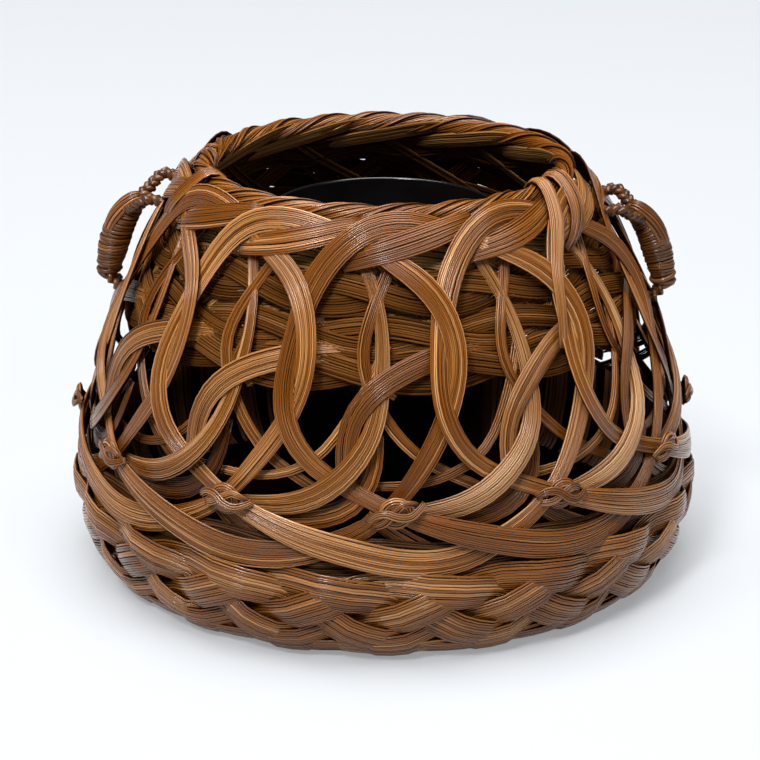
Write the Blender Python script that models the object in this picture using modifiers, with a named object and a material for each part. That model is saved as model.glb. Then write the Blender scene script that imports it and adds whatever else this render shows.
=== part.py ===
"""Plaited bamboo tea basket with a lift-out lacquered liner and two bound ear handles.

Metres, +Z up. The origin is the middle of the underside, and the front looks along -Y.
"""

import math

import bmesh
import bpy
import numpy as np
from mathutils import Vector

# Outline of the basket
REPEATS = 12
FIRST_KNOT_TURN = math.radians(2.0)
BASE_RADIUS = 0.125
BELLY_RADIUS = 0.149
BELLY_HEIGHT = 0.046
RIM_RADIUS = 0.092
RIM_HEIGHT = 0.194
WALL_TAPER = 1.9

# Split-bamboo ribbons of the wall
RIBBON_WIDTH = 0.012
RIBBON_THICKNESS = 0.0012
LAYER_STEP = 0.0019
KNOT_HEIGHT = 0.074
SWEEP_HEIGHT = 0.050
SWEEP_SEGMENTS = 36
LOOP_SEGMENTS = 16
HOOK_SEGMENTS = 12
ROUTE_STEPS = 12
SEAT_GAP = 0.0003
SLOPE_PROBE = 0.0005

# Tie knots where the ribbons cross
KNOT_RING_RADIUS = 0.0042
KNOT_CORD_RADIUS = 0.0021
KNOT_LAYER = 0.35
KNOT_RING_SIDES = 8
KNOT_CORD_SIDES = 5

# Hidden bands inside the wall
BAND_WAVE = 0.004
BAND_SEGMENTS = 48
LOWER_BAND_RISE = 0.53
LOWER_BAND_WIDTH = 0.026
LOWER_BAND_LAYER = 5.2
UPPER_BAND_RISE = 0.733
UPPER_BAND_WIDTH = 0.017
UPPER_BAND_LAYER = 4.4

# Plait round the bottom corner
BASE_PLAIT_WIDTH = 0.0145
BASE_PLAIT_SWING = 0.0190
BASE_PLAIT_HEAVE = 0.0018
BASE_PLAIT_DEPTH = 0.0033
BASE_PLAIT_MIDDLE = math.radians(48.0)
BASE_PLAIT_LAPS = 5
BASE_PLAIT_BIGHTS = 19
BASE_PLAIT_STEPS = 10

# Floor of the basket and the side that turns up from it
FLOOR_THICKNESS = 0.0025
FLOOR_FOOT_INSET = 0.005
FLOOR_SIDE_LAP = 0.008
FLOOR_SIDE_LAYER = 1.9
FLOOR_STEPS = 32
FLOOR_CORNER_POINTS = 4

# Plait of the mouth rim
RIM_PLAIT_INSET = 0.0078
RIM_PLAIT_DROP = 0.0045
RIM_PLAIT_TWIST = 0.0031
RIM_PLAIT_STRAND = 0.0024
RIM_PLAIT_LAPS = 3
RIM_PLAIT_TWISTS = 22
RIM_PLAIT_STEPS = 9
RIM_PLAIT_SEGMENTS = 0

# Lift-out liner
LINER_RIM_RADIUS = 0.054
LINER_FOOT_RADIUS = 0.051
LINER_DROP = 0.026
LINER_WALL = 0.002
LINER_STEPS = 32

# Ear handles, one each side
HANDLE_TURN = 0.80
HANDLE_TOP_RISE = 0.905
HANDLE_FOOT_RISE = 0.41
HANDLE_REACH = 0.0105
HANDLE_SHOULDER = 0.62
HANDLE_CORE_RADIUS = 0.0050
HANDLE_CORE_POINTS = 18
HANDLE_CORE_SEGMENTS = 2
HANDLE_TOP_LAYER = 0.0
HANDLE_FOOT_LAYER = 1.0
BINDING_CORD_RADIUS = 0.0010
BINDING_CORD_SEGMENTS = 1
BINDING_LOOPS = 12
BINDING_LOOP_POINTS = 16
BINDING_START = 0.21
BINDING_END = 0.79
BINDING_PROBE = 0.001

# Routes of the ribbons. Each row: turn in repeats, rise, depth in layers, width in ribbon widths.
# A rise of -1 is the lowest sweep, 0 the knots and 1 the rim.
SWEEP_ROUTE = (
    (1.86, 0.900, 2.6, 0.67),
    (1.60, 0.921, 2.3, 0.83),
    (1.32, 0.950, 1.7, 1.00),
    (1.05, 0.962, 0.7, 1.00),
    (0.80, 0.942, 0.0, 1.00),
    (0.60, 0.888, 0.3, 1.00),
    (0.46, 0.804, 1.2, 1.00),
    (0.37, 0.712, 1.4, 1.00),
    (0.28, 0.575, 1.2, 0.92),
    (0.24, 0.442, 0.9, 0.92),
    (0.28, 0.312, 1.0, 0.96),
    (0.40, 0.204, 1.4, 1.00),
    (0.57, 0.121, 3.0, 0.92),
    (0.76, 0.067, 3.0, 0.79),
    (0.93, 0.017, 1.1, 0.58),
    (1.13, -0.167, 0.3, 0.75),
    (1.43, -0.500, 0.0, 1.08),
    (1.73, -0.770, 0.0, 1.17),
    (2.00, -0.960, 0.0, 1.17),
    (2.25, -1.000, 0.6, 1.12),
    (2.50, -0.854, 1.6, 1.04),
    (2.73, -0.500, 2.0, 0.83),
    (2.93, -0.104, 2.3, 0.62),
    (3.07, 0.083, 2.1, 0.79),
    (3.19, 0.188, 2.1, 1.00),
    (3.31, 0.292, 2.1, 0.96),
    (3.41, 0.408, 1.9, 0.92),
    (3.455, 0.517, 0.9, 0.92),
    (3.43, 0.633, 0.1, 0.92),
    (3.335, 0.725, 0.1, 1.00),
    (3.17, 0.796, 0.3, 0.92),
    (2.97, 0.846, 1.2, 0.75),
    (2.78, 0.892, 1.3, 0.58),
)
LOOP_ROUTE = (
    (0.04, -0.083, 3.4, 0.54),
    (0.24, -0.062, 2.9, 0.83),
    (0.43, 0.012, 2.0, 1.00),
    (0.60, 0.067, 1.1, 1.00),
    (0.735, 0.142, 1.0, 1.00),
    (0.84, 0.225, 1.0, 0.83),
    (0.895, 0.317, 2.2, 0.79),
    (0.92, 0.417, 2.6, 0.71),
    (0.93, 0.525, 3.0, 0.58),
    (0.915, 0.625, 3.2, 0.50),
    (0.865, 0.725, 3.4, 0.50),
    (0.78, 0.817, 3.6, 0.50),
    (0.71, 0.883, 3.7, 0.50),
)
HOOK_ROUTE = (
    (1.62, 0.562, 4.4, 0.83),
    (1.44, 0.554, 4.0, 0.92),
    (1.26, 0.533, 3.4, 1.00),
    (1.11, 0.500, 2.5, 1.00),
    (0.97, 0.458, 1.3, 1.00),
    (0.865, 0.412, 1.0, 1.00),
    (0.755, 0.346, 1.0, 0.92),
    (0.70, 0.267, 1.6, 0.83),
    (0.685, 0.183, 2.2, 0.88),
    (0.71, 0.108, 2.2, 0.83),
)


def clear_scene():
    """Start from an empty scene."""
    for item in list(bpy.data.objects):
        bpy.data.objects.remove(item, do_unlink=True)


def make_material(name, colour, roughness, metallic=0.0):
    """One Principled finish."""
    material = bpy.data.materials.new(name)
    material.use_nodes = True
    shader = material.node_tree.nodes["Principled BSDF"]
    shader.inputs["Base Color"].default_value = (*colour, 1.0)
    shader.inputs["Roughness"].default_value = roughness
    shader.inputs["Metallic"].default_value = metallic
    return material


def add_piece(collection, name, data, material, parent):
    """Put a mesh or curve in the scene as one named piece."""
    piece = bpy.data.objects.new(name, data)
    collection.objects.link(piece)
    piece.parent = parent
    data.materials.append(material)
    return piece


def add_empty(collection, name, parent=None):
    """A parent that carries pieces and is no piece itself."""
    empty = bpy.data.objects.new(name, None)
    collection.objects.link(empty)
    empty.parent = parent
    return empty


# Form of the wall


def wall_radius(height):
    """Radius of the basket's outside at a height."""
    if height < BELLY_HEIGHT:
        below = min(1.0, (BELLY_HEIGHT - height) / BELLY_HEIGHT)
        return BASE_RADIUS + (BELLY_RADIUS - BASE_RADIUS) * math.sqrt(1.0 - below * below)
    above = (height - BELLY_HEIGHT) / (RIM_HEIGHT - BELLY_HEIGHT)
    return BELLY_RADIUS - (BELLY_RADIUS - RIM_RADIUS) * above ** WALL_TAPER


def wall_slope(height):
    """Change of radius with height."""
    rise = wall_radius(height + SLOPE_PROBE) - wall_radius(height - SLOPE_PROBE)
    return rise / (2.0 * SLOPE_PROBE)


def round_point(turn, radius, height):
    """A point at a turn from the front, a radius and a height."""
    return Vector((radius * math.sin(turn), -radius * math.cos(turn), height))


def wall_point(turn, height, lift):
    """A point off the outside of the wall along its own normal."""
    slope = wall_slope(height)
    length = math.hypot(1.0, slope)
    return round_point(turn, wall_radius(height) + lift / length, height - lift * slope / length)


def layer_lift(layer):
    """Lift of a ribbon's middle surface at a depth in layers."""
    return -RIBBON_THICKNESS / 2.0 - layer * LAYER_STEP


def corner_point(turn, corner, lift):
    """A point off the bottom corner, where corner runs from 0 underneath to a right angle at the belly."""
    reach = BELLY_RADIUS - BASE_RADIUS
    across = BELLY_HEIGHT * math.sin(corner)
    down = reach * math.cos(corner)
    length = math.hypot(across, down)
    radius = BASE_RADIUS + reach * math.sin(corner) + lift * across / length
    return round_point(turn, radius, BELLY_HEIGHT * (1.0 - math.cos(corner)) - lift * down / length)


def corner_scale(corner):
    """Length along the corner for each radian of it."""
    return math.hypot((BELLY_RADIUS - BASE_RADIUS) * math.cos(corner), BELLY_HEIGHT * math.sin(corner))


def rise_height(rise):
    """Height of a rise, counted from the knots to the rim, or down to the lowest sweep."""
    if rise < 0.0:
        return KNOT_HEIGHT + rise * (KNOT_HEIGHT - SWEEP_HEIGHT)
    return KNOT_HEIGHT + rise * (RIM_HEIGHT - KNOT_HEIGHT)


# Ribbons of the wall


def smooth_route(route):
    """A smooth curve through a route's rows, as a fine list of rows."""
    rows = np.array(route)
    first = 2.0 * rows[0] - rows[1]
    last = 2.0 * rows[-1] - rows[-2]
    rows = np.vstack([first, rows, last])
    result = []
    for index in range(1, len(rows) - 2):
        before, start, end, after = rows[index - 1:index + 3]
        for step in range(ROUTE_STEPS):
            part = step / ROUTE_STEPS
            bend = 2.0 * before - 5.0 * start + 4.0 * end - after
            swing = 3.0 * start - before - 3.0 * end + after
            result.append(0.5 * (2.0 * start + (end - before) * part + bend * part ** 2 + swing * part ** 3))
    result.append(rows[-2])
    return np.array(result)


def ribbon_rows(route, segments):
    """Even rows along a route: turn, height, lift and width."""
    rows = smooth_route(route)
    rows[:, 0] *= math.tau / REPEATS
    rows[:, 1] = [rise_height(rise) for rise in rows[:, 1]]
    rows[:, 2] = [layer_lift(layer) for layer in rows[:, 2]]
    rows[:, 3] *= RIBBON_WIDTH
    points = np.array([wall_point(*row[:3]) for row in rows])
    steps = np.linalg.norm(np.diff(points, axis=0), axis=1)
    length = np.concatenate([[0.0], np.cumsum(steps)])
    places = np.linspace(0.0, length[-1], segments + 1)
    return np.stack([np.interp(places, length, column) for column in rows.T], axis=1)


def strip_mesh(name, segments, columns, place, closed=False):
    """A mesh strip from a grid, each corner put in place by its row and its share of the width."""
    shape = bmesh.new()
    bmesh.ops.create_grid(shape, x_segments=segments, y_segments=columns, size=0.5)
    for corner in shape.verts:
        row = round((corner.co.x + 0.5) * segments)
        corner.co = place(row, corner.co.y)
    if closed:
        bmesh.ops.remove_doubles(shape, verts=shape.verts, dist=SEAT_GAP / 10.0)
    mesh = bpy.data.meshes.new(name)
    shape.to_mesh(mesh)
    shape.free()
    mesh.shade_smooth()
    return mesh


def ribbon_mesh(name, route, segments):
    """The strip of one ribbon, at the first repeat."""
    rows = ribbon_rows(route, segments)
    ahead = np.gradient(rows, axis=0)

    def place(row, share):
        turn, height, lift, width = rows[row]
        radius = wall_radius(height)
        stretch = math.hypot(1.0, wall_slope(height))
        along = Vector((ahead[row, 0] * radius, ahead[row, 1] * stretch)).normalized()
        side = width * share
        return wall_point(turn - side * along.y / radius, height + side * along.x / stretch, lift)

    return strip_mesh(name, segments, 1, place)


def thicken(piece, thickness):
    """Give a strip its thickness, half to each side."""
    solid = piece.modifiers.new("thickness", "SOLIDIFY")
    solid.thickness = thickness
    solid.offset = 0.0


def repeat_turn(index):
    """Turn of one repeat from the front."""
    return FIRST_KNOT_TURN + index * math.tau / REPEATS


def add_ribbons(collection, kind, route, segments, material, parent):
    """All the ribbons of one kind, one to a repeat."""
    mesh = ribbon_mesh(kind, route, segments)
    mesh.materials.append(material)
    for index in range(REPEATS):
        piece = bpy.data.objects.new(f"{kind}_{index + 1:02d}", mesh)
        collection.objects.link(piece)
        piece.parent = parent
        piece.rotation_euler.z = repeat_turn(index)
        thicken(piece, RIBBON_THICKNESS)


def add_knots(collection, material, parent):
    """A ring of cord on each crossing, flat against the wall."""
    slope = wall_slope(KNOT_HEIGHT)
    lift = layer_lift(KNOT_LAYER) + RIBBON_THICKNESS / 2.0 + KNOT_CORD_RADIUS
    for index in range(REPEATS):
        bpy.ops.mesh.primitive_torus_add(
            major_radius=KNOT_RING_RADIUS,
            minor_radius=KNOT_CORD_RADIUS,
            major_segments=KNOT_RING_SIDES,
            minor_segments=KNOT_CORD_SIDES,
        )
        knot = bpy.context.object
        knot.name = f"tie_knot_{index + 1:02d}"
        knot.data.materials.append(material)
        knot.data.shade_smooth()
        for other in list(knot.users_collection):
            other.objects.unlink(knot)
        collection.objects.link(knot)
        knot.parent = parent
        turn = repeat_turn(index)
        knot.location = wall_point(turn, KNOT_HEIGHT, lift)
        knot.rotation_euler = (math.pi / 2.0 + math.atan(slope), 0.0, turn)


def add_inner_band(collection, name, rise, width, layer, material, parent):
    """A wavy band that runs round the inside of the ribbons."""
    height = rise_height(rise)
    stretch = math.hypot(1.0, wall_slope(height))

    def place(row, share):
        turn = math.tau * row / BAND_SEGMENTS
        wave = BAND_WAVE * math.sin(turn * REPEATS / 2.0)
        return wall_point(turn, height + (wave + width * share) / stretch, layer_lift(layer))

    mesh = strip_mesh(name, BAND_SEGMENTS, 1, place, closed=True)
    band = add_piece(collection, name, mesh, material, parent)
    thicken(band, RIBBON_THICKNESS)


# Plaits and floor


def plait_place(part, laps, bights):
    """Turn round the basket, swing and heave of a strand that is plaited with itself, lap by lap."""
    phase = bights * math.tau * part
    return laps * math.tau * part, math.sin(phase), math.sin((laps - 1) * phase)


def add_base_plait(collection, material, parent):
    """One wide strand that goes round several times, over and under itself."""
    steps = BASE_PLAIT_BIGHTS * BASE_PLAIT_STEPS

    def middle(step):
        turn, swing, heave = plait_place(step / steps, BASE_PLAIT_LAPS, BASE_PLAIT_BIGHTS)
        corner = BASE_PLAIT_MIDDLE + BASE_PLAIT_SWING * swing / corner_scale(BASE_PLAIT_MIDDLE)
        return turn, corner, BASE_PLAIT_HEAVE * heave - BASE_PLAIT_DEPTH

    def place(row, share):
        turn, corner, lift = middle(row)
        here = corner_point(turn, corner, lift)
        radius = math.hypot(here.x, here.y)
        behind = middle(row - 0.5)
        before = middle(row + 0.5)
        scale = corner_scale(corner)
        along = Vector(((before[0] - behind[0]) * radius, (before[1] - behind[1]) * scale)).normalized()
        side = BASE_PLAIT_WIDTH * share
        return corner_point(turn - side * along.y / radius, corner + side * along.x / scale, lift)

    mesh = strip_mesh("base_plait", steps, 2, place, closed=True)
    plait = add_piece(collection, "base_plait", mesh, material, parent)
    thicken(plait, RIBBON_THICKNESS)


def tube_curve(name, points, radius, segments, closed=False):
    """A tube through the points, with filled ends where it is open."""
    curve = bpy.data.curves.new(name, "CURVE")
    curve.dimensions = "3D"
    curve.bevel_depth = radius
    curve.bevel_resolution = segments
    curve.use_fill_caps = not closed
    spline = curve.splines.new("POLY")
    spline.points.add(len(points) - 1)
    for slot, point in zip(spline.points, points):
        slot.co = (*point, 1.0)
    spline.use_cyclic_u = closed
    spline.use_smooth = True
    return curve


def add_rim_plait(collection, material, parent):
    """One strand laid round the mouth several times and twisted with itself."""
    steps = RIM_PLAIT_TWISTS * RIM_PLAIT_STEPS
    points = []
    for step in range(steps):
        part = math.tau * step / steps
        twist = RIM_PLAIT_TWISTS * part
        radius = RIM_RADIUS - RIM_PLAIT_INSET + RIM_PLAIT_TWIST * math.cos(twist)
        height = RIM_HEIGHT - RIM_PLAIT_DROP + RIM_PLAIT_TWIST * math.sin(twist)
        points.append(round_point(RIM_PLAIT_LAPS * part, radius, height))
    curve = tube_curve("rim_plait", points, RIM_PLAIT_STRAND, RIM_PLAIT_SEGMENTS, closed=True)
    add_piece(collection, "rim_plait", curve, material, parent)


def turned_mesh(name, profile, ring):
    """A profile at +X, given from its inside over its top and down its outside."""
    shape = bmesh.new()
    corners = [shape.verts.new((radius, 0.0, height)) for radius, height in profile]
    for upper, lower in zip(corners, corners[1:]):
        shape.edges.new((upper, lower))
    if ring:
        shape.edges.new((corners[-1], corners[0]))
    mesh = bpy.data.meshes.new(name)
    shape.to_mesh(mesh)
    shape.free()
    return mesh


def add_turned(collection, name, profile, steps, material, parent, ring=False):
    """A turned piece, from a profile that starts and ends on the axis, or goes round as a ring's does."""
    piece = add_piece(collection, name, turned_mesh(name, profile, ring), material, parent)
    screw = piece.modifiers.new("turn", "SCREW")
    screw.steps = steps
    screw.render_steps = steps
    screw.use_merge_vertices = True
    screw.merge_threshold = SEAT_GAP / 10.0
    screw.use_smooth_shade = True


def floor_depth():
    """How far the floor's side lies inside the wall's outside, clear of the plait."""
    return BASE_PLAIT_DEPTH + BASE_PLAIT_HEAVE + RIBBON_THICKNESS / 2.0 + 2.0 * SEAT_GAP


def side_profile(inset):
    """Points up the floor's side, at an inset from its outer face."""
    points = []
    for step in range(FLOOR_CORNER_POINTS):
        corner = math.pi / 2.0 * step / FLOOR_CORNER_POINTS
        place = corner_point(math.pi / 2.0, corner, -floor_depth() - inset)
        points.append((place.x, place.z))
    top = SWEEP_HEIGHT + FLOOR_SIDE_LAP
    lip = wall_radius(top) + layer_lift(FLOOR_SIDE_LAYER) - RIBBON_THICKNESS / 2.0 - SEAT_GAP
    points.append((lip - inset, top))
    return points


def add_floor(collection, material, parent):
    """The flat floor and the side round it, which the ribbons and the base plait lie on."""
    edge = BASE_RADIUS - FLOOR_FOOT_INSET
    floor = [(0.0, FLOOR_THICKNESS), (edge, FLOOR_THICKNESS), (edge, 0.0), (0.0, 0.0)]
    add_turned(collection, "basket_floor", floor, FLOOR_STEPS, material, parent)
    foot = edge + SEAT_GAP
    outer = side_profile(0.0)
    inner = side_profile(FLOOR_THICKNESS)
    side = [(foot, FLOOR_THICKNESS)] + inner + outer[::-1] + [(foot, 0.0)]
    add_turned(collection, "floor_side", side, FLOOR_STEPS, material, parent, ring=True)


def add_liner(collection, material, parent):
    """The lacquered cup that lifts out of the basket."""
    foot = FLOOR_THICKNESS + SEAT_GAP
    rim = RIM_HEIGHT - LINER_DROP
    profile = [
        (0.0, foot + LINER_WALL),
        (LINER_FOOT_RADIUS - LINER_WALL, foot + LINER_WALL),
        (LINER_RIM_RADIUS - LINER_WALL, rim),
        (LINER_RIM_RADIUS, rim),
        (LINER_FOOT_RADIUS, foot),
        (0.0, foot),
    ]
    add_turned(collection, "liner", profile, LINER_STEPS, material, parent)


# Ear handles


def handle_point(turn, part):
    """A point on the handle's middle line, part of the way from its top to its foot."""
    height = rise_height(HANDLE_TOP_RISE + part * (HANDLE_FOOT_RISE - HANDLE_TOP_RISE))
    layer = HANDLE_TOP_LAYER + part * (HANDLE_FOOT_LAYER - HANDLE_TOP_LAYER)
    seat = HANDLE_CORE_RADIUS + SEAT_GAP - layer * LAYER_STEP
    return wall_point(turn, height, seat + HANDLE_REACH * math.sin(math.pi * part ** HANDLE_SHOULDER) ** 2)


def binding_points(turn):
    """The handle's winding: a helix round its middle line."""
    points = []
    coil = HANDLE_CORE_RADIUS + SEAT_GAP + BINDING_CORD_RADIUS
    count = BINDING_LOOPS * BINDING_LOOP_POINTS
    sideways = Vector((math.cos(turn), math.sin(turn), 0.0))
    for step in range(count + 1):
        part = BINDING_START + (BINDING_END - BINDING_START) * step / count
        ahead = handle_point(turn, part + BINDING_PROBE)
        behind = handle_point(turn, part - BINDING_PROBE)
        outward = (ahead - behind).normalized().cross(sideways)
        angle = math.tau * step / BINDING_LOOP_POINTS
        offset = sideways * math.cos(angle) + outward * math.sin(angle)
        points.append(handle_point(turn, part) + offset * coil)
    return points


def least_gap(points, cord_radius, skip):
    """The least gap of a winding to itself, between points at least skip places apart."""
    places = np.array(points)
    apart = np.linalg.norm(places[:, None] - places[None, :], axis=2)
    order = np.abs(np.arange(len(places))[:, None] - np.arange(len(places))[None, :])
    return float(apart[order >= skip].min()) - 2.0 * cord_radius


def add_handle(collection, side, index, core_material, cord_material, parent):
    """One ear handle: its bent core and the winding round it."""
    turn = repeat_turn(index + HANDLE_TURN)
    parts = [step / (HANDLE_CORE_POINTS - 1) for step in range(HANDLE_CORE_POINTS)]
    core_points = [handle_point(turn, part) for part in parts]
    core = tube_curve("handle_core", core_points, HANDLE_CORE_RADIUS, HANDLE_CORE_SEGMENTS)
    add_piece(collection, f"handle_core_{side}", core, core_material, parent)
    points = binding_points(turn)
    binding = tube_curve("handle_binding", points, BINDING_CORD_RADIUS, BINDING_CORD_SEGMENTS)
    add_piece(collection, f"handle_binding_{side}", binding, cord_material, parent)
    gap = least_gap(points, BINDING_CORD_RADIUS, BINDING_LOOP_POINTS // 2)
    print(f"handle_binding_{side} least gap to itself: {gap * 1000.0:.2f} mm")


def main():
    clear_scene()
    collection = bpy.data.collections.new("plaited_tea_basket")
    bpy.context.scene.collection.children.link(collection)
    basket = add_empty(collection, "basket_root")
    lift = add_empty(collection, "liner_lift")

    sweep_finish = make_material("sweep_bamboo", (0.30, 0.13, 0.05), 0.38)
    loop_finish = make_material("loop_bamboo", (0.33, 0.15, 0.06), 0.38)
    hook_finish = make_material("hook_bamboo", (0.27, 0.12, 0.045), 0.40)
    knot_finish = make_material("knot_bamboo", (0.24, 0.10, 0.04), 0.42)
    band_finish = make_material("band_bamboo", (0.16, 0.07, 0.03), 0.50)
    plait_finish = make_material("plait_bamboo", (0.28, 0.12, 0.05), 0.40)
    floor_finish = make_material("floor_bamboo", (0.20, 0.09, 0.04), 0.55)
    core_finish = make_material("handle_bamboo", (0.15, 0.06, 0.025), 0.45)
    cord_finish = make_material("handle_cord", (0.18, 0.075, 0.03), 0.40)
    liner_finish = make_material("black_lacquer", (0.006, 0.005, 0.005), 0.15)

    add_ribbons(collection, "sweep_ribbon", SWEEP_ROUTE, SWEEP_SEGMENTS, sweep_finish, basket)
    add_ribbons(collection, "loop_ribbon", LOOP_ROUTE, LOOP_SEGMENTS, loop_finish, basket)
    add_ribbons(collection, "hook_ribbon", HOOK_ROUTE, HOOK_SEGMENTS, hook_finish, basket)
    add_knots(collection, knot_finish, basket)
    lower = (LOWER_BAND_RISE, LOWER_BAND_WIDTH, LOWER_BAND_LAYER)
    upper = (UPPER_BAND_RISE, UPPER_BAND_WIDTH, UPPER_BAND_LAYER)
    add_inner_band(collection, "inner_band_lower", *lower, band_finish, basket)
    add_inner_band(collection, "inner_band_upper", *upper, band_finish, basket)
    add_base_plait(collection, plait_finish, basket)
    add_floor(collection, floor_finish, basket)
    add_rim_plait(collection, plait_finish, basket)
    add_handle(collection, "right", REPEATS // 4 - 1, core_finish, cord_finish, basket)
    add_handle(collection, "left", 3 * REPEATS // 4 - 1, core_finish, cord_finish, basket)
    add_liner(collection, liner_finish, lift)


main()
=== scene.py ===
"""Looks of a plaited bamboo basket with a lift-out lacquered liner. Metres, +Z up, the front along -Y."""

import math

import bpy
import numpy as np
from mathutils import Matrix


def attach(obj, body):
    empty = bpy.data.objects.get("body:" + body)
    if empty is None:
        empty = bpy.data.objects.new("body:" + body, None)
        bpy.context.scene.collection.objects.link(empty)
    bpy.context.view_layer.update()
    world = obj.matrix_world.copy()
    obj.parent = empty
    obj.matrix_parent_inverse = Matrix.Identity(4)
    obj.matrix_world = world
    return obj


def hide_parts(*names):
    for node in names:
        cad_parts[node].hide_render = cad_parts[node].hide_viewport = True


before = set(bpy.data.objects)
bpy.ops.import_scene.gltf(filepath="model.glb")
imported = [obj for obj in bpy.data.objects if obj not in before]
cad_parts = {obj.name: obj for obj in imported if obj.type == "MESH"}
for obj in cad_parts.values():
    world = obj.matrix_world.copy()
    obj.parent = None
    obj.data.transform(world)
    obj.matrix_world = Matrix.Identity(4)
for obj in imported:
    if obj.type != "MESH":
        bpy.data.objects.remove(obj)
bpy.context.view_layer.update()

# Outline of the basket, as in the part's source, with a fuller foot
REPEATS = 12
FIRST_KNOT_TURN = math.radians(2.0)
BASE_RADIUS = 0.127
BELLY_RADIUS = 0.149
BELLY_HEIGHT = 0.046
RIM_RADIUS = 0.092
RIM_HEIGHT = 0.194
WALL_TAPER = 1.9
KNOT_HEIGHT = 0.074
SWEEP_HEIGHT = 0.050
RIBBON_WIDTH = 0.012
RIBBON_THICKNESS = 0.0012
LAYER_STEP = 0.0019
SEAT_GAP = 0.0003

# Bamboo splits: how far apart a strip's rings are, its section, and each corner's crown, which sets how much
# painted groove shade and shine that corner gets
RING_STEP = 0.0060
SPLIT_THICKNESS = 0.0011
SPLIT_SECTION = np.array(
    [(-1.0, -0.5), (-1.0, 0.20), (-0.70, 0.44), (0.70, 0.44), (1.0, 0.20), (1.0, -0.5)]
)
SPLIT_CROWN = np.array([0.0, 0.45, 1.0, 1.0, 0.45, 0.0])
RIBBON_CROWN = 0.0008
MIDDLE_TONE = 0.5
CORD_SIDE = (0.31, 0.17, 0.93)
CORD_CROWN = 0.8
CORD_SIDES = 7
TURNED_RUN = 0.1

# How splits differ: their widths and gaps, the grooves between groups of them, and their lifts and tones
SPLIT_WIDTHS = (0.75, 1.25)
SPLIT_GAP = 0.04
SPLIT_GAPS = (0.3, 1.5)
GROOVE_GAP = 0.32
GROOVE_GAPS = (0.5, 1.0)
SPLIT_LIFT = 0.00006
GROUP_LIFT = 0.00012
SPLIT_TONE = 0.09
GROUP_TONE = 0.05
RUN_STARTS = 9.0

# How splits sway: the length of a wave, its second wave, the shares of both and how far across they go
SWAY_WAVE = 0.12
SWAY_SECOND = 2.3
SWAY_SHARES = (0.6, 0.4)
SPLIT_SWAY = 0.16

# Bamboo's colour and shine: streaks along a split, by run, tone and crown, and the painted shade that darkens
# the grooves beside it
DARK = (0.055, 0.014, 0.002)
WHITE = (1.0, 1.0, 1.0)
SLOW_STREAKS = (11.0, 5.0)
QUICK_STREAKS = (26.0, 233.0, 2.0)
TONE_SHARE = 0.80
QUICK_SHARE = 0.18
SHADE_SHIFT = -0.49
SHADE_STOPS = (0.10, 0.50, 0.92)
# Painted shade: the sides of each split and the grooves between splits are darkened in colour
PAINTED_GROOVE_SHADE_TINT = (1.0, 0.75, 0.6)
PAINTED_GROOVE_SHADE_STOPS = (0.30, 0.98)
ROUGHNESS_SPREAD = 0.22
COAT_ROUGHNESS = 0.15
FIBRES = (30.0, 700.0, 4.0)
FIBRE_STRENGTH = 0.14
FIBRE_HEIGHT = 0.0004

# Each bamboo's dark, middle and light colour and roughness, then any shine, coat and painted groove shade of
# its own
BAMBOOS = {
    "sweep_bamboo": (DARK, (0.232, 0.070, 0.004), (0.650, 0.320, 0.115), 0.29),
    "loop_bamboo": (DARK, (0.222, 0.072, 0.006), (0.700, 0.395, 0.180), 0.28),
    "hook_bamboo": (DARK, (0.206, 0.063, 0.005), (0.640, 0.318, 0.118), 0.30, 0.20, 0.32),
    "knot_bamboo": (DARK, (0.225, 0.074, 0.010), (0.600, 0.300, 0.115), 0.28),
    # The bands' bamboo is darker than the wall's, a painted shade for bands lying deep inside
    "band_bamboo": ((0.026, 0.009, 0.002), (0.128, 0.046, 0.009), (0.290, 0.128, 0.040), 0.62, 0.0, 0.0, 0.2),
    # The inside's bamboo is a paler copy of the bands' bamboo, painted light on parts that lie in shade
    "inside_painted_light_bamboo": ((0.060, 0.023, 0.005), (0.300, 0.128, 0.030), (0.58, 0.32, 0.115), 0.6, 0.0, 0.0, 0.2),
    "plait_bamboo": (DARK, (0.244, 0.076, 0.005), (0.670, 0.340, 0.130), 0.27, 0.24),
    # The floor's bamboo is very dark, a painted shade for the inside of the basket
    "floor_bamboo": ((0.014, 0.006, 0.002), (0.065, 0.024, 0.007), (0.170, 0.072, 0.027), 0.50, 0.15, 0.0),
    "handle_bamboo": ((0.030, 0.010, 0.002), (0.125, 0.043, 0.010), (0.310, 0.135, 0.047), 0.36, 0.3),
    "handle_cord": ((0.040, 0.013, 0.002), (0.180, 0.061, 0.012), (0.470, 0.215, 0.077), 0.32, 0.3, 0.4),
}

# Lacquer's clouds and dust
LACQUER_CLOUDS = 35.0
LACQUER_DUST = 420.0
LACQUER_STOPS = (0.35, 0.75)
LACQUER_COLOURS = ((0.0030, 0.0024, 0.0027), (0.0065, 0.0050, 0.0056))
LACQUER_ROUGHNESS = 0.12
DUST_ROUGHNESS = 0.10
BRUSH_STRENGTH = 0.06
BRUSH_HEIGHT = 0.001

# Margins of a strip's share of the texture map
MAP_MARGIN = 0.005
CELL_MARGIN = 0.04

# How far a ribbon strays from its route, and over what length
STRAY = 0.0012
STRAY_WAVE = 0.16
STRAY_START = 0.030
CORNER_PASSES = 4
BANK = 0.009

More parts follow.
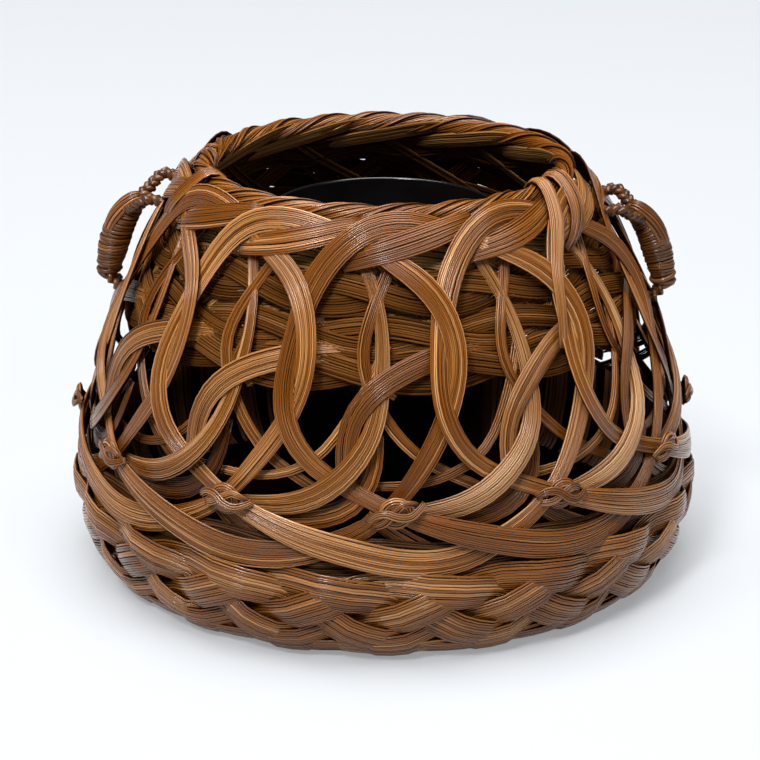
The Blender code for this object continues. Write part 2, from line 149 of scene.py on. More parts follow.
# Routes of the wall's ribbons: turn in repeats, rise, depth in layers, width in ribbon widths.
# A rise of -1 is the lowest sweep, 0 the knots and 1 the rim.
SWEEP_ROUTE = (
    (1.86, 0.900, 2.6, 0.67), (1.60, 0.921, 2.3, 0.83), (1.32, 0.950, 1.7, 1.00),
    (1.05, 0.962, 0.7, 1.00), (0.80, 0.942, 0.0, 1.00), (0.60, 0.888, 0.3, 1.00),
    (0.46, 0.804, 1.2, 1.00), (0.37, 0.712, 1.4, 1.00), (0.315, 0.575, 1.2, 0.86),
    (0.28, 0.442, 0.95, 0.84), (0.315, 0.312, 0.9, 0.84), (0.415, 0.204, 1.4, 0.78),
    (0.57, 0.121, 3.0, 0.70), (0.76, 0.067, 3.0, 0.64), (0.93, 0.017, 1.1, 0.58),
    (1.13, -0.167, 0.3, 0.75), (1.43, -0.500, 0.0, 1.08), (1.73, -0.770, 0.0, 1.17),
    (2.00, -0.960, 0.0, 1.17), (2.25, -1.000, 0.6, 1.12), (2.50, -0.854, 1.6, 1.04),
    (2.73, -0.500, 2.0, 0.83), (2.93, -0.104, 2.3, 0.62), (3.07, 0.083, 2.1, 0.70),
    (3.19, 0.188, 2.1, 0.82), (3.30, 0.292, 2.1, 0.82), (3.385, 0.408, 1.5, 0.82),
    (3.425, 0.517, 0.4, 0.84), (3.40, 0.633, 0.1, 0.86), (3.315, 0.725, 0.1, 0.96),
    (3.17, 0.796, 0.3, 0.92), (2.97, 0.846, 1.2, 0.75), (2.78, 0.892, 1.3, 0.58),
)
LOOP_ROUTE = (
    (0.04, -0.083, 3.4, 0.54), (0.24, -0.062, 2.9, 0.83), (0.43, 0.012, 2.0, 1.00),
    (0.60, 0.067, 1.1, 1.00), (0.735, 0.142, 1.0, 1.00), (0.84, 0.225, 1.0, 0.83),
    (0.895, 0.317, 2.2, 0.79), (0.92, 0.417, 2.6, 0.71), (0.93, 0.525, 3.0, 0.58),
    (0.915, 0.625, 3.2, 0.50), (0.865, 0.725, 3.4, 0.50), (0.78, 0.817, 3.6, 0.50),
    (0.71, 0.883, 3.7, 0.50),
)
HOOK_ROUTE = (
    (1.84, 0.565, 6.2, 0.75), (1.62, 0.562, 4.6, 0.83), (1.44, 0.554, 4.0, 0.92),
    (1.26, 0.533, 3.4, 1.00), (1.11, 0.500, 2.5, 1.00), (0.97, 0.458, 1.3, 1.00),
    (0.865, 0.412, 1.0, 1.00), (0.755, 0.346, 1.0, 0.92), (0.70, 0.267, 1.6, 0.83),
    (0.685, 0.183, 2.2, 0.88), (0.71, 0.108, 2.2, 0.83),
)
# Each ribbon's route, splits, share of its route's width and seed
WALL_RIBBONS = {
    "sweep": (SWEEP_ROUTE, 13, 0.92, 100),
    "loop": (LOOP_ROUTE, 12, 0.86, 200),
    "hook": (HOOK_ROUTE, 12, 0.86, 300),
}
RIBBON_TONES = (-0.12, 0.14)

# Narrower strands between and behind those ribbons, in the same terms
LEAF_ROUTE = (
    (0.60, 0.845, 3.0, 0.70), (0.83, 0.864, 0.7, 0.95), (1.06, 0.880, 0.1, 1.02),
    (1.31, 0.911, 0.3, 1.02), (1.55, 0.941, 1.4, 0.90), (1.76, 0.962, 2.5, 0.65),
)
STAKE_ROUTE = (
    (0.07, 0.900, 3.9, 0.52), (-0.02, 0.820, 3.6, 0.52), (-0.15, 0.708, 3.2, 0.52),
    (-0.228, 0.600, 2.9, 0.52), (-0.25, 0.517, 3.2, 0.55), (-0.17, 0.433, 3.6, 0.52),
    (-0.067, 0.325, 4.2, 0.50), (0.10, 0.217, 4.6, 0.50), (0.20, 0.160, 4.8, 0.48),
    (0.37, 0.108, 4.8, 0.45), (0.58, 0.040, 4.8, 0.45),
)
SLING_ROUTE = (
    (-0.06, 0.585, 4.2, 0.45), (-0.10, 0.525, 4.1, 0.45), (-0.15, 0.450, 3.9, 0.45),
    (-0.233, 0.367, 3.7, 0.45), (-0.33, 0.270, 3.6, 0.45), (-0.40, 0.205, 3.6, 0.45),
    (-0.55, 0.142, 4.0, 0.45), (-0.767, 0.092, 4.4, 0.42), (-1.033, 0.080, 4.8, 0.40),
    (-1.300, 0.085, 5.2, 0.40),
)
UNDERLOOP_ROUTE = (
    (0.12, -0.330, 3.9, 0.60), (0.27, -0.300, 3.7, 0.80), (0.43, -0.250, 3.4, 0.95),
    (0.653, -0.140, 3.0, 0.95), (0.80, 0.030, 2.9, 0.90), (0.865, 0.110, 3.1, 0.85),
    (0.89, 0.190, 3.4, 0.75), (0.88, 0.270, 4.0, 0.65),
)
TAIL_ROUTE = (
    (-0.16, -0.050, 2.9, 0.55), (-0.05, -0.417, 2.9, 0.62), (0.13, -0.708, 2.9, 0.66),
    (0.30, -0.980, 2.9, 0.66), (0.46, -1.250, 2.9, 0.62),
)
# Each strand's route, splits, tone and share of its route's width
STRANDS = (
    (LEAF_ROUTE, 12, 0.52, 1.0),
    (STAKE_ROUTE, 7, 0.50, 0.84),
    (SLING_ROUTE, 5, 0.58, 0.74),
    # The underloop and tail take low tones, a painted shade for strands lying deep in the wall
    (UNDERLOOP_ROUTE, 11, 0.30, 0.86),
    (TAIL_ROUTE, 8, 0.34, 1.0),
)
STRAND_TONES = (-0.10, 0.12)

# Strips on the inside of the wall, in the same terms
STRIP_ROUTE = (
    (0.00, 0.955, 6.3, 0.36), (-0.40, 0.845, 6.6, 0.36), (-0.80, 0.720, 6.8, 0.36),
    (-1.20, 0.590, 6.8, 0.36),
)
HATCH_ROUTE = (
    (0.05, 0.430, 6.0, 0.90), (-0.15, 0.490, 6.1, 1.00), (-0.50, 0.620, 6.0, 1.00),
    (-0.90, 0.780, 5.8, 1.00), (-1.25, 0.900, 4.9, 0.85),
)
BRACE_ROUTE = (
    (-0.10, 0.430, 6.0, 0.80), (0.08, 0.510, 6.0, 0.90), (0.40, 0.680, 5.6, 0.90),
    (0.75, 0.840, 5.2, 0.80), (0.98, 0.920, 4.4, 0.70),
)
# Each strip's route, splits, tone and grooves
INSIDE_STRIPS = (
    # The first strip's high tone is painted light on a strip that lies in shade
    (STRIP_ROUTE, 4, 0.78, 1),
    (HATCH_ROUTE, 9, 0.55, 5),
    (BRACE_ROUTE, 9, 0.55, 4),
)

# Inner bands: which piece each row is in, its rise and its depth in layers
BAND_ROWS = (("upper", 0.742, 4.6), ("lower", 0.602, 5.1), ("lower", 0.488, 5.0))
BAND_WIDTH = 0.0100
BAND_WAVE = 0.0050
BAND_WEAVE = 0.80
BAND_SPLITS = 9
BAND_STEPS = 120
BAND_PHASE = 1.9

# Hoops on the inside of the wall under the rim: rise and depth in layers, width and wave
HOOPS = ((0.960, 5.2), (0.905, 6.3), (0.850, 5.4), (0.665, 6.6))
HOOP_WIDTH = 0.0130
HOOP_WAVE = 0.0018
HOOP_TONE = 0.6

# Tie knots
KNOT_LAYER = 0.5
KNOT_CORD_RADIUS = 0.0014
KNOT_STEPS = 40
KNOT_STRAND = 0.0036
KNOT_RING = (0.0058, 0.0056, 0.0014)
KNOT_SPLITS = 4
KNOT_LEAN = 0.25
KNOT_FACING = 0.5
KNOT_WING_STEP = 0.0012
KNOT_WING_CROWN = 0.0006
MILLIMETRE = 0.001
# Strands across each knot, in millimetres: to the right, up, out of the wall, width
KNOT_WINGS = (
    ((-13.0, -1.2, -1.8, 2.2), (-9.0, 1.6, 0.9, 3.0), (-4.0, 1.6, 2.4, 3.4), (1.0, -1.2, 3.0, 3.4),
     (6.0, -2.2, 2.4, 3.2), (10.5, -0.4, 0.6, 2.6), (13.0, 1.2, -1.8, 2.0)),
    ((-10.5, -3.8, -1.8, 2.2), (-6.0, -2.6, 1.2, 3.0), (-0.5, 1.0, 1.9, 3.2), (4.0, 3.4, 1.6, 3.0),
     (8.0, 2.6, 0.6, 2.4), (10.0, 0.6, -2.0, 2.0)),
)

# Base plait
BASE_WIDTH = 0.0165
BASE_SWING = 0.0162
BASE_HEAVE = 0.0027
BASE_DEPTH = 0.0006
BASE_MIDDLE = math.radians(57.0)
BASE_FLAT = 0.05
BASE_LAPS = 5
BASE_BIGHTS = 19
BASE_STEPS = 32
BASE_SPLITS = 14
BASE_SNAP = 1.6
BASE_CROWN = 0.0019
# Ribbons that run round behind the base plait and along its foot: degrees up the bottom corner, lift, how
# much it weaves, width and first wave
BASE_ROUNDS = (
    (40.0, -0.0047, 0.0, 0.0125, 0.0),
    (58.0, -0.0047, 0.0, 0.0125, 1.0),
    (76.0, -0.0047, 0.0, 0.0125, 2.0),
    (27.0, -0.0004, 0.0009, 0.0100, 0.0),
    (27.0, -0.0004, 0.0009, 0.0100, math.pi),
)
BASE_ROUND_SPLITS = 8
BASE_ROUND_TONE = 0.46
BASE_ROUND_WAVES = 11
BASE_ROUND_SWING = math.radians(2.0)

# Rim plait
RIM_INSET = 0.0078
RIM_DROP = 0.0060
RIM_TWIST = 0.0034
RIM_LAPS = 3
RIM_TWISTS = 22
RIM_STEPS = 34
RIM_WIDTH = 0.0100
RIM_SPLITS = 10
RIM_CROWN = 0.0018

# Ribbons that slant down the inside of the rim: share of their turn, radius, height, width
RIM_WRAPS = 12
RIM_WRAP_TURN = math.radians(58.0)
RIM_WRAP_SPLITS = 9
RIM_WRAP_TONE = 0.62
RIM_WRAP_PATH = (
    (0.0, 0.0850, 0.1885, 0.0060),
    (0.25, 0.0806, 0.1866, 0.0090),
    (0.5, 0.0818, 0.1822, 0.0095),
    (0.75, 0.0850, 0.1784, 0.0090),
    (1.0, 0.0985, 0.1715, 0.0050),
)

# Ribbons folded over the rim beside the handles. Over the rim: out from the inmost point, down from the
# crest, share of the lean. Down the wall: rise, lift, share of the lean.
FOLD_INSET = 0.0155
FOLD_CREST = 0.0030
FOLD_OVER = (
    (0.002, 0.022, 0.0),
    (0.0, 0.011, 0.05),
    (0.004, 0.003, 0.10),
    (0.010, 0.0, 0.16),
    (FOLD_INSET + 0.0010, 0.0050, 0.24),
)
LONG_FOLD = ((0.90, 0.0016, 0.45), (0.76, 0.0012, 0.82), (0.62, 0.0008, 0.97), (0.48, -0.0040, 1.0))
SHORT_FOLD = ((0.93, 0.0014, 0.40), (0.87, 0.0006, 0.60), (0.81, -0.0030, 0.80), (0.76, -0.0085, 1.0))
FOLD_TAPER = 0.45
FOLD_STEP = RING_STEP * 0.7
FOLD_PASSES = 2
FOLD_SPLITS = 11
FOLD_TONE_STEP = 0.06
FOLD_CROWN = 0.0011
# Each fold: degrees from the handle, degrees it leans on its way down, width, and its way down the wall
FOLDS = {
    "right": ((-20.0, -13.0, 0.0125, SHORT_FOLD), (-29.5, -17.0, 0.0086, LONG_FOLD)),
    "left": ((30.0, -14.0, 0.0100, SHORT_FOLD),),
}
# Each tie round the rim plait: degrees from the handle, and how far round the mouth it slants
RIM_TIES = {"right": (), "left": ((-14.0, 4.0), (0.0, -5.0))}
RIM_TIE_RADIUS = 0.0050
RIM_TIE_WIDTH = 0.0046
RIM_TIE_STEPS = 28
RIM_TIE_SPLITS = 5
RIM_TIE_TONE = 0.45
RIM_TIE_CROWN = 0.0006

# Floor, a woven mat, and its turned-up side
FLOOR_THICKNESS = 0.0025
FLOOR_FOOT_INSET = 0.005
FLOOR_TOP = 0.058
FLOOR_DEPTH = 0.0063
MAT_PITCH = 0.0128
MAT_WIDTH = 0.0134
MAT_STEP = 0.0032
MAT_WAVE = 0.0005
MAT_THICKNESS = 0.0009
MAT_SPLITS = 6
SIDE_SHELL = 0.0012
SIDE_LIP_INSET = 0.0057
SIDE_LIP_DROP = 0.002
SIDE_CORNER_STEPS = 9
SIDE_STEPS = 96
SIDE_STAKES = 44
SIDE_STAKE_START = 0.02
SIDE_STAKE_STEPS = 14
SIDE_STAKE_DEPTH = 0.0021
SIDE_STAKE_TOP_INSET = 0.0022
SIDE_STAKE_TOP_DROP = 0.001
SIDE_STAKE_WIDTH = 0.0135
SIDE_STAKE_SPLITS = 6
SIDE_STAKE_TONE = 0.42
# Each ribbon round the side: height, lift and waves
SIDE_ROUNDS = ((0.041, -0.0052, 9), (0.0485, -0.0050, 11), (0.0555, -0.0048, 13))
SIDE_ROUND_WAVE = 0.0016
SIDE_ROUND_WIDTH = 0.0085
SIDE_ROUND_SPLITS = 8
SIDE_ROUND_TONE = 0.62

# Liner
LINER_RIM_RADIUS = 0.054
LINER_FOOT_RADIUS = 0.051
LINER_DROP = 0.026
LINER_WALL = 0.002
LINER_STEPS = 160
LINER_LIP_STEPS = 9
LINER_CENTRE = 0.0005
# Its curves at the floor inside and at the foot outside: in from the foot's radius, and up
LINER_FLOOR_CURVE = ((0.0035, 0.0), (LINER_WALL, 0.003))
LINER_FOOT_CURVE = ((0.0, 0.002), (0.0005, 0.0006), (0.002, 0.0))

# Ear handles: the repeat each stands in, how far on in it, and its form
HANDLE_REPEATS = {"right": 2, "left": 8}
HANDLE_TURN = 0.80
HANDLE_TOP_RISE = 0.860
HANDLE_FOOT_RISE = 0.42
HANDLE_REACH = 0.0042
HANDLE_SHOULDER = 0.85
HANDLE_CORE_RADIUS = 0.0050
CORE_PART = (0.24, 0.87)
CORE_STEPS = 30
CORE_TRIM = 0.0004
CORE_SIDES = 14
CORE_TONE = 0.35

# Braids of a handle: a braid is its cords' radius, their number and its pitch
BRAID_STEP = 0.0009
BRAID_SWING = 1.35
BRAID_HEAVE = 0.75
BRAID_TONE = 0.1
# Painted shade: how much darker each handle's braids and winding are, the right handle most
BRAID_PAINTED_SHADES = {"right": -0.20, "left": -0.06}
WRAP_PAINTED_SHADES = {"right": -0.24, "left": -0.06}

# Where the two braids at the top meet the wall: degrees from the handle and rise
HANDLE_TIES = {"right": ((8.0, 0.838), (-8.0, 0.828)), "left": ((8.0, 0.832), (-8.0, 0.868))}
TIE_PART = 0.31
TIE_DROP = 0.002
TIE_LIFT = 0.0040
TIE_SHIFT = 0.0028
TIE_SPREAD = 1.2
TIE_BRAID = (0.0016, 3, 0.0105)
TIE_TONE = 0.55

# The two braids at the foot, and the turns of cord round it: part of the way down and reach
FOOT_RISE = 0.04
FOOT_SHIFT = 0.0026
FOOT_SPREAD = 1.4
FOOT_PARTS = (0.74, 0.83)
FOOT_END_RISES = (0.001, -0.003)
FOOT_END_LIFTS = (0.0005, -0.0080)
FOOT_BRAID = (0.0014, 2, 0.0080)
FOOT_TURNS = ((0.800, 0.0054), (0.840, 0.0048), (0.880, 0.0042))
FOOT_TURN_STEPS = 22
FOOT_TURN_LEAN = 0.014
FOOT_TURN_PHASE = 60.0
FOOT_TURN_RADIUS = 0.0012

# Winding round a handle
HANDLE_WRAPS = 9
WRAP_STEPS = 24
WRAP_START = 0.27
WRAP_SPAN = 0.53
WRAP_LEAN = 0.016
WRAP_LEAN_PHASE = 0.8
WRAP_STRAY = 0.008
WRAP_STRAY_WAVE = 0.17
WRAP_GIRTH = 0.0049
WRAP_SWELL = 0.0019
WRAP_SWELL_PLACE = 1.25
WRAP_SWELL_FLAT = 0.8
WRAP_WIDTH = 0.0056
WRAP_SPLITS = 4
WRAP_CROWN = 0.0009

# Strip over a handle's top. Its rise and taper are a part of a wave: start, span and power.
COVER_STEPS = 30
COVER_START = 0.17
COVER_SPAN = 0.49
COVER_LIFT = 0.0072
COVER_RISE = (0.004, 0.930, 0.35)
COVER_WIDTH = 0.0104
COVER_TAPER = (0.12, 0.68, 0.5)
COVER_ANGLE = (0.75, 0.55)
COVER_SPLITS = 8
COVER_TONE = 0.62
COVER_CROWN = 0.0030

# Stage, light and camera. Each lamp: place, aim, size and power.
STAGE_COLOUR = (0.338, 0.353, 0.371, 1.0)
STAGE_ROUGHNESS = 0.6
STAGE_SHINE = 0.2
STAGE_GLOW = (0.94, 0.97, 1.0, 1.0)
STAGE_GLOW_STRENGTH = 0.31
STAGE_SIZE = 30.0
STAGE_PLACE = (0.0, 6.0, -0.0002)
WORLD_COLOUR = (1.0, 0.98, 0.96, 1.0)
WORLD_STRENGTH = 0.07
LAMPS = {
    "key": ((-1.8, -3.4, 4.8), (0.0, 0.0, 0.10), 1.2, 252.0),
    "fill": ((2.4, -1.7, 1.8), (0.0, 0.0, 0.10), 1.6, 8.0),
    "top": ((-0.2, -0.1, 5.0), (0.0, 0.0, 0.15), 4.5, 445.0),
}
PICTURE_PIXELS = 760.0
FOCAL_PIXELS = 2334.0
AXIS_PIXEL = 384.0
SENSOR_WIDTH = 36.0
CAMERA_PLACE = (0.0, -1.060, 0.471)
CAMERA_PITCH = 20.2


# Form of the wall


def unit(vectors):
    return vectors / np.linalg.norm(vectors, axis=-1, keepdims=True)


def full_turn(steps):
    """Turns once round the basket, without the one that closes the ring."""
    return np.linspace(0.0, math.tau, steps, endpoint=False)


def round_point(turn, radius, height):
    """Points at a turn from the front, a radius and a height."""
    return np.stack(np.broadcast_arrays(radius * np.sin(turn), -radius * np.cos(turn), height), axis=-1)


def sideways(turn):
    """Level directions along the wall, to the right as seen from outside."""
    return np.stack([np.cos(turn), np.sin(turn), np.zeros_like(turn)], axis=-1)


def wall_radius(height):
    below = np.clip((BELLY_HEIGHT - height) / BELLY_HEIGHT, 0.0, 1.0)
    above = np.clip((height - BELLY_HEIGHT) / (RIM_HEIGHT - BELLY_HEIGHT), 0.0, None)
    low = BASE_RADIUS + (BELLY_RADIUS - BASE_RADIUS) * np.sqrt(1.0 - below * below)
    high = BELLY_RADIUS - (BELLY_RADIUS - RIM_RADIUS) * above**WALL_TAPER
    return np.where(height < BELLY_HEIGHT, low, high)


def wall_normal(turn, height):
    """Directions straight out of the wall."""
    probe = 0.0005
    slope = (wall_radius(height + probe) - wall_radius(height - probe)) / (2.0 * probe)
    length = np.hypot(1.0, slope)
    return round_point(turn, 1.0 / length, -slope / length)


def wall_point(turn, height, lift):
    """Points off the outside of the wall along its own normal."""
    surface = round_point(turn, wall_radius(height), height)
    return surface + wall_normal(turn, height) * np.asarray(lift)[..., None]


def layer_lift(layer):
    return -RIBBON_THICKNESS / 2.0 - layer * LAYER_STEP


def rise_height(rise):
    down = KNOT_HEIGHT + rise * (KNOT_HEIGHT - SWEEP_HEIGHT)
    up = KNOT_HEIGHT + rise * (RIM_HEIGHT - KNOT_HEIGHT)
    return np.where(rise < 0.0, down, up)


def repeat_turn(index):
    return FIRST_KNOT_TURN + index * math.tau / REPEATS


def corner_scale(corner):
    """Length along the bottom corner's outline for each radian of corner."""
    return np.hypot((BELLY_RADIUS - BASE_RADIUS) * np.cos(corner), BELLY_HEIGHT * np.sin(corner))


def corner_point(turn, corner, lift):
    """Points off the bottom corner, where corner runs from 0 underneath to a right angle at the belly."""
    reach = BELLY_RADIUS - BASE_RADIUS
    across = BELLY_HEIGHT * np.sin(corner)
    down = reach * np.cos(corner)
    length = np.hypot(across, down)
    radius = BASE_RADIUS + reach * np.sin(corner) + lift * across / length
    return round_point(turn, radius, BELLY_HEIGHT * (1.0 - np.cos(corner)) - lift * down / length)


def corner_normal(turn, corner):
    probe = 0.001
    return unit(corner_point(turn, corner, probe) - corner_point(turn, corner, 0.0))


def rim_axis(turn):
    """Points along the middle of the rim plait."""
    height = np.full_like(turn, RIM_HEIGHT - RIM_DROP)
    return round_point(turn, RIM_RADIUS - RIM_INSET, height)


# Curves


def smooth(rows, points=12):
    """A smooth curve through rows, with some points from each row to the next."""
    rows = np.asarray(rows, float)
    ends = np.vstack([2.0 * rows[0] - rows[1], rows, 2.0 * rows[-1] - rows[-2]])
    part = np.linspace(0.0, 1.0, points, endpoint=False)[:, None]
    pieces = []
    for before, start, end, after in zip(ends, ends[1:], ends[2:], ends[3:]):
        bend = 2.0 * before - 5.0 * start + 4.0 * end - after
        swing = 3.0 * start - before - 3.0 * end + after
        pieces.append(0.5 * (2.0 * start + (end - before) * part + bend * part**2 + swing * part**3))
    return np.vstack(pieces + [rows[-1:]])


def run_of(points):
    """Length along points from the first one."""
    return np.concatenate([[0.0], np.cumsum(np.linalg.norm(np.diff(points, axis=0), axis=1))])


def heading(points, closed=False):
    """Directions along points."""
    if closed:
        return unit(np.roll(points, -1, axis=0) - np.roll(points, 1, axis=0))
    return unit(np.gradient(points, axis=0))


def soften(rows, passes):
    """Rows with their small corners taken off."""
    for _ in range(passes):
        near = np.roll(rows, 1, axis=0) + np.roll(rows, -1, axis=0)
        softer = 0.5 * rows + 0.25 * near
        rows = np.vstack([rows[:1], softer[1:-1], rows[-1:]])
    return rows


def even(points, columns, step):
    """Columns of numbers at even steps along points."""
    run = run_of(points)
    places = np.linspace(0.0, run[-1], max(4, int(run[-1] / step)))
    return np.stack([np.interp(places, run, column) for column in columns.T], axis=1)


# Meshes of bamboo splits


class Bundle:
    """Strips gathered into one mesh, with what their material reads of each: tone, run and crown."""

    def __init__(self, seed):
        self.rng = np.random.default_rng(seed)
        self.points = []
        self.marks = []
        self.faces = []
        self.maps = []
        self.size = 0
        self.cells = 0

    def add(self, rings, crown, tone, run, closed=False):
        """One strip: rings of points along it, joined to each other and filled at its ends."""
        count, sides = rings.shape[:2]
        index = self.size + np.arange(count * sides).reshape(count, sides)
        if closed:
            index = np.vstack([index, index[:1]])
        next_side = np.roll(index, -1, axis=1)
        quads = np.stack([index[:-1], next_side[:-1], next_side[1:], index[1:]], axis=-1).reshape(-1, 4)
        along = np.linspace(0.0, 1.0, len(index))
        around = np.arange(sides) / sides
        start, side = np.meshgrid(along[:-1], around, indexing="ij")
        ahead = start + along[1]
        beside = side + 1.0 / sides
        corners = ((start, side), (start, beside), (ahead, beside), (ahead, side))
        places = np.stack([np.stack(pair, axis=-1) for pair in corners], axis=-2)
        self.faces.append((quads, np.full(len(quads), 4)))
        self.maps.append((places.reshape(-1, 2), self.cells))
        if not closed:
            for ring, spot in ((index[0, ::-1], 0.0), (index[-1], 1.0)):
                self.faces.append((ring[None], np.array([sides])))
                self.maps.append((np.column_stack([np.full(sides, spot), around]), self.cells))
        self.points.append(rings.reshape(-1, 3))
        marks = np.empty((count, sides, 3))
        marks[..., 0] = tone
        marks[..., 1] = run[:, None]
        marks[..., 2] = crown
        self.marks.append(marks.reshape(-1, 3))
        self.size += count * sides
        self.cells += 1

    def sway(self, run, length, wave, closed=False):
        """A slow random wave along a strip, from -1 to 1, that meets itself on a closed one."""
        count = length / wave
        second = SWAY_SECOND * count
        if closed:
            count = max(1, round(count))
            second = 2 * count + 1
        first_phase, second_phase = self.rng.uniform(0.0, math.tau, 2)
        angle = run * math.tau / length
        slow = SWAY_SHARES[0] * np.sin(count * angle + first_phase)
        return slow + SWAY_SHARES[1] * np.sin(second * angle + second_phase)

    def shares(self, splits, grooves):
        """Where each split lies across a ribbon and how wide it is, with a few wider grooves between them."""
        widths = self.rng.uniform(*SPLIT_WIDTHS, splits)
        gaps = np.full(splits - 1, SPLIT_GAP * self.rng.uniform(*SPLIT_GAPS))
        deep = self.rng.choice(splits - 1, min(grooves, splits - 1), replace=False)
        gaps[deep] = GROOVE_GAP * self.rng.uniform(*GROOVE_GAPS, len(deep))
        group = np.concatenate([[0], np.cumsum(np.isin(np.arange(splits - 1), deep))])
        starts = np.concatenate([[0.0], np.cumsum(widths[:-1] + gaps)])
        total = starts[-1] + widths[-1]
        return (starts + widths / 2.0) / total - 0.5, widths / total, group

    def ribbon(self, middle, normal, width, splits, tone=MIDDLE_TONE, crown=RIBBON_CROWN,
               thick=SPLIT_THICKNESS, grooves=2, closed=False):
        """A ribbon of splits side by side along a middle line."""
        ahead = heading(middle, closed)
        side = unit(np.cross(ahead, normal))
        up = np.cross(side, ahead)
        run = run_of(middle)
        length = run[-1]
        if closed:
            length = length + np.linalg.norm(middle[0] - middle[-1])
        width = np.broadcast_to(width, len(middle))
        places, widths, groups = self.shares(splits, grooves)
        group_lift = self.rng.normal(0.0, GROUP_LIFT, groups[-1] + 1)
        group_tone = self.rng.normal(0.0, GROUP_TONE, groups[-1] + 1)
        start = self.rng.uniform(0.0, RUN_STARTS)
        for place, share, group in zip(places, widths, groups):
            across = place + self.sway(run, length, SWAY_WAVE, closed) * SPLIT_SWAY / splits
            lift = group_lift[group] + self.rng.normal(0.0, SPLIT_LIFT) - crown * 4.0 * place**2
            lift = lift + SPLIT_LIFT * self.sway(run, length, SWAY_WAVE, closed)
            line = middle + side * (width * across)[:, None] + up * lift[:, None]
            tilt = (8.0 * crown * place / width)[:, None]
            half = (width[:, None] * share / 2.0 * SPLIT_SECTION[:, 0])[..., None]
            tall = (thick * SPLIT_SECTION[:, 1])[None, :, None]
            rings = line[:, None] + (side - up * tilt)[:, None] * half + (up + side * tilt)[:, None] * tall
            shade = np.clip(tone + group_tone[group] + self.rng.normal(0.0, SPLIT_TONE), 0.0, 1.0)
            self.add(rings, SPLIT_CROWN, shade, run + start, closed)

    def cord(self, middle, radius, sides, tone=MIDDLE_TONE, closed=False):
        """A round cord along a middle line."""
        ahead = heading(middle, closed)
        side = unit(np.cross(ahead, CORD_SIDE))
        up = np.cross(side, ahead)
        angle = -np.arange(sides) * math.tau / sides
        offsets = side[:, None] * np.cos(angle)[:, None] + up[:, None] * np.sin(angle)[:, None]
        run = run_of(middle) + self.rng.uniform(0.0, RUN_STARTS)
        self.add(middle[:, None] + radius * offsets, np.full(sides, CORD_CROWN), tone, run, closed)

    def turned(self, profile, steps, tone, crown):
        """A turned ring or cup from a profile of radius and height."""
        profile = np.array(profile)
        turn = full_turn(steps)
        rings = round_point(turn[:, None], profile[None, :, 0], profile[None, :, 1])
        self.add(rings, np.full(len(profile), crown), tone, turn * TURNED_RUN, closed=True)

    def make(self, name, slot, nodes=(), body="basket", look=None):
        """One piece that rides on a body and stands for CAD nodes, in its slot's look or another."""
        mesh = bpy.data.meshes.new(name)
        mesh.vertices.add(self.size)
        mesh.vertices.foreach_set("co", np.concatenate(self.points).astype(np.float32).ravel())
        corners = np.concatenate([quads.ravel() for quads, _ in self.faces]).astype(np.int32)
        counts = np.concatenate([count for _, count in self.faces])
        mesh.loops.add(len(corners))
        mesh.loops.foreach_set("vertex_index", corners)
        mesh.polygons.add(len(counts))
        mesh.polygons.foreach_set("loop_start", (np.cumsum(counts) - counts).astype(np.int32))
        mesh.update(calc_edges=True)
        marks = np.concatenate(self.marks).astype(np.float32)
        for column, mark in enumerate(("tone", "run", "crown")):
            mesh.attributes.new(mark, "FLOAT", "POINT").data.foreach_set("value", marks[:, column].copy())
        places = np.concatenate([self.cell(*item) for item in self.maps])
        mesh.uv_layers.new(name="OFBake").data.foreach_set("uv", places.astype(np.float32).ravel())
        mesh.validate()
        mesh.shade_smooth()
        mesh.materials.append(LOOKS[look or slot])
        piece = bpy.data.objects.new(name, mesh)
        bpy.context.scene.collection.objects.link(piece)
        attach(piece, body)
        if nodes:
            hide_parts(*nodes)

    def cell(self, places, cell):
        """A strip's share of the texture map, a thin row of its own."""
        along = MAP_MARGIN + (1.0 - 2.0 * MAP_MARGIN) * places[:, 0]
        around = CELL_MARGIN + (1.0 - 2.0 * CELL_MARGIN) * places[:, 1]
        return np.column_stack([along, (cell + around) / self.cells])


# Materials


class Nodes:
    """Short ways to add nodes to a material."""

    def __init__(self, name):
        self.material = bpy.data.materials.new(name)
        self.material.use_nodes = True
        self.tree = self.material.node_tree
        self.shader = self.tree.nodes["Principled BSDF"]

    def feed(self, node, values):
        """Constants straight on a node's sockets, and links to the others."""
        for socket, value in values.items():
            if isinstance(value, bpy.types.NodeSocket):
                self.tree.links.new(value, node.inputs[socket])
            else:
                node.inputs[socket].default_value = value

    def add(self, kind, output, values, **settings):
        """An output of a new node."""
        node = self.tree.nodes.new(f"ShaderNode{kind}")
        for name, setting in settings.items():
            setattr(node, name, setting)
        self.feed(node, values)
        return node.outputs[output]

    def mark(self, name):
        return self.add("Attribute", "Fac", {}, attribute_name=name)

    def times(self, first, second):
        return self.add("Math", 0, {0: first, 1: second}, operation="MULTIPLY")

    def plus(self, first, second):
        return self.add("Math", 0, {0: first, 1: second}, operation="ADD")

    def scaled(self, values, scales):
        """A vector of values, each times its own scale."""
        parts = [self.times(value, scale) for value, scale in zip(values, scales)]
        return self.add("CombineXYZ", 0, dict(enumerate(parts)))

    def noise(self, vector, scale=1.0, detail=2.0):
        return self.add("TexNoise", "Fac", {"Vector": vector, "Scale": scale, "Detail": detail})

    def ramp(self, value, spots, colours):
        node = self.tree.nodes.new("ShaderNodeValToRGB")
        elements = node.color_ramp.elements
        while len(elements) < len(spots):
            elements.new(0.5)
        for element, spot, colour in zip(elements, spots, colours):
            element.position = spot
            element.color = (*colour, 1.0)
        self.feed(node, {"Fac": value})
        return node.outputs["Color"]

    def multiply(self, first, second):
        values = {0: 1.0, 6: first, 7: second}
        return self.add("Mix", 2, values, data_type="RGBA", blend_type="MULTIPLY")

    def bump(self, height, strength, distance):
        values = {"Height": height, "Strength": strength, "Distance": distance}
        return self.add("Bump", "Normal", values)


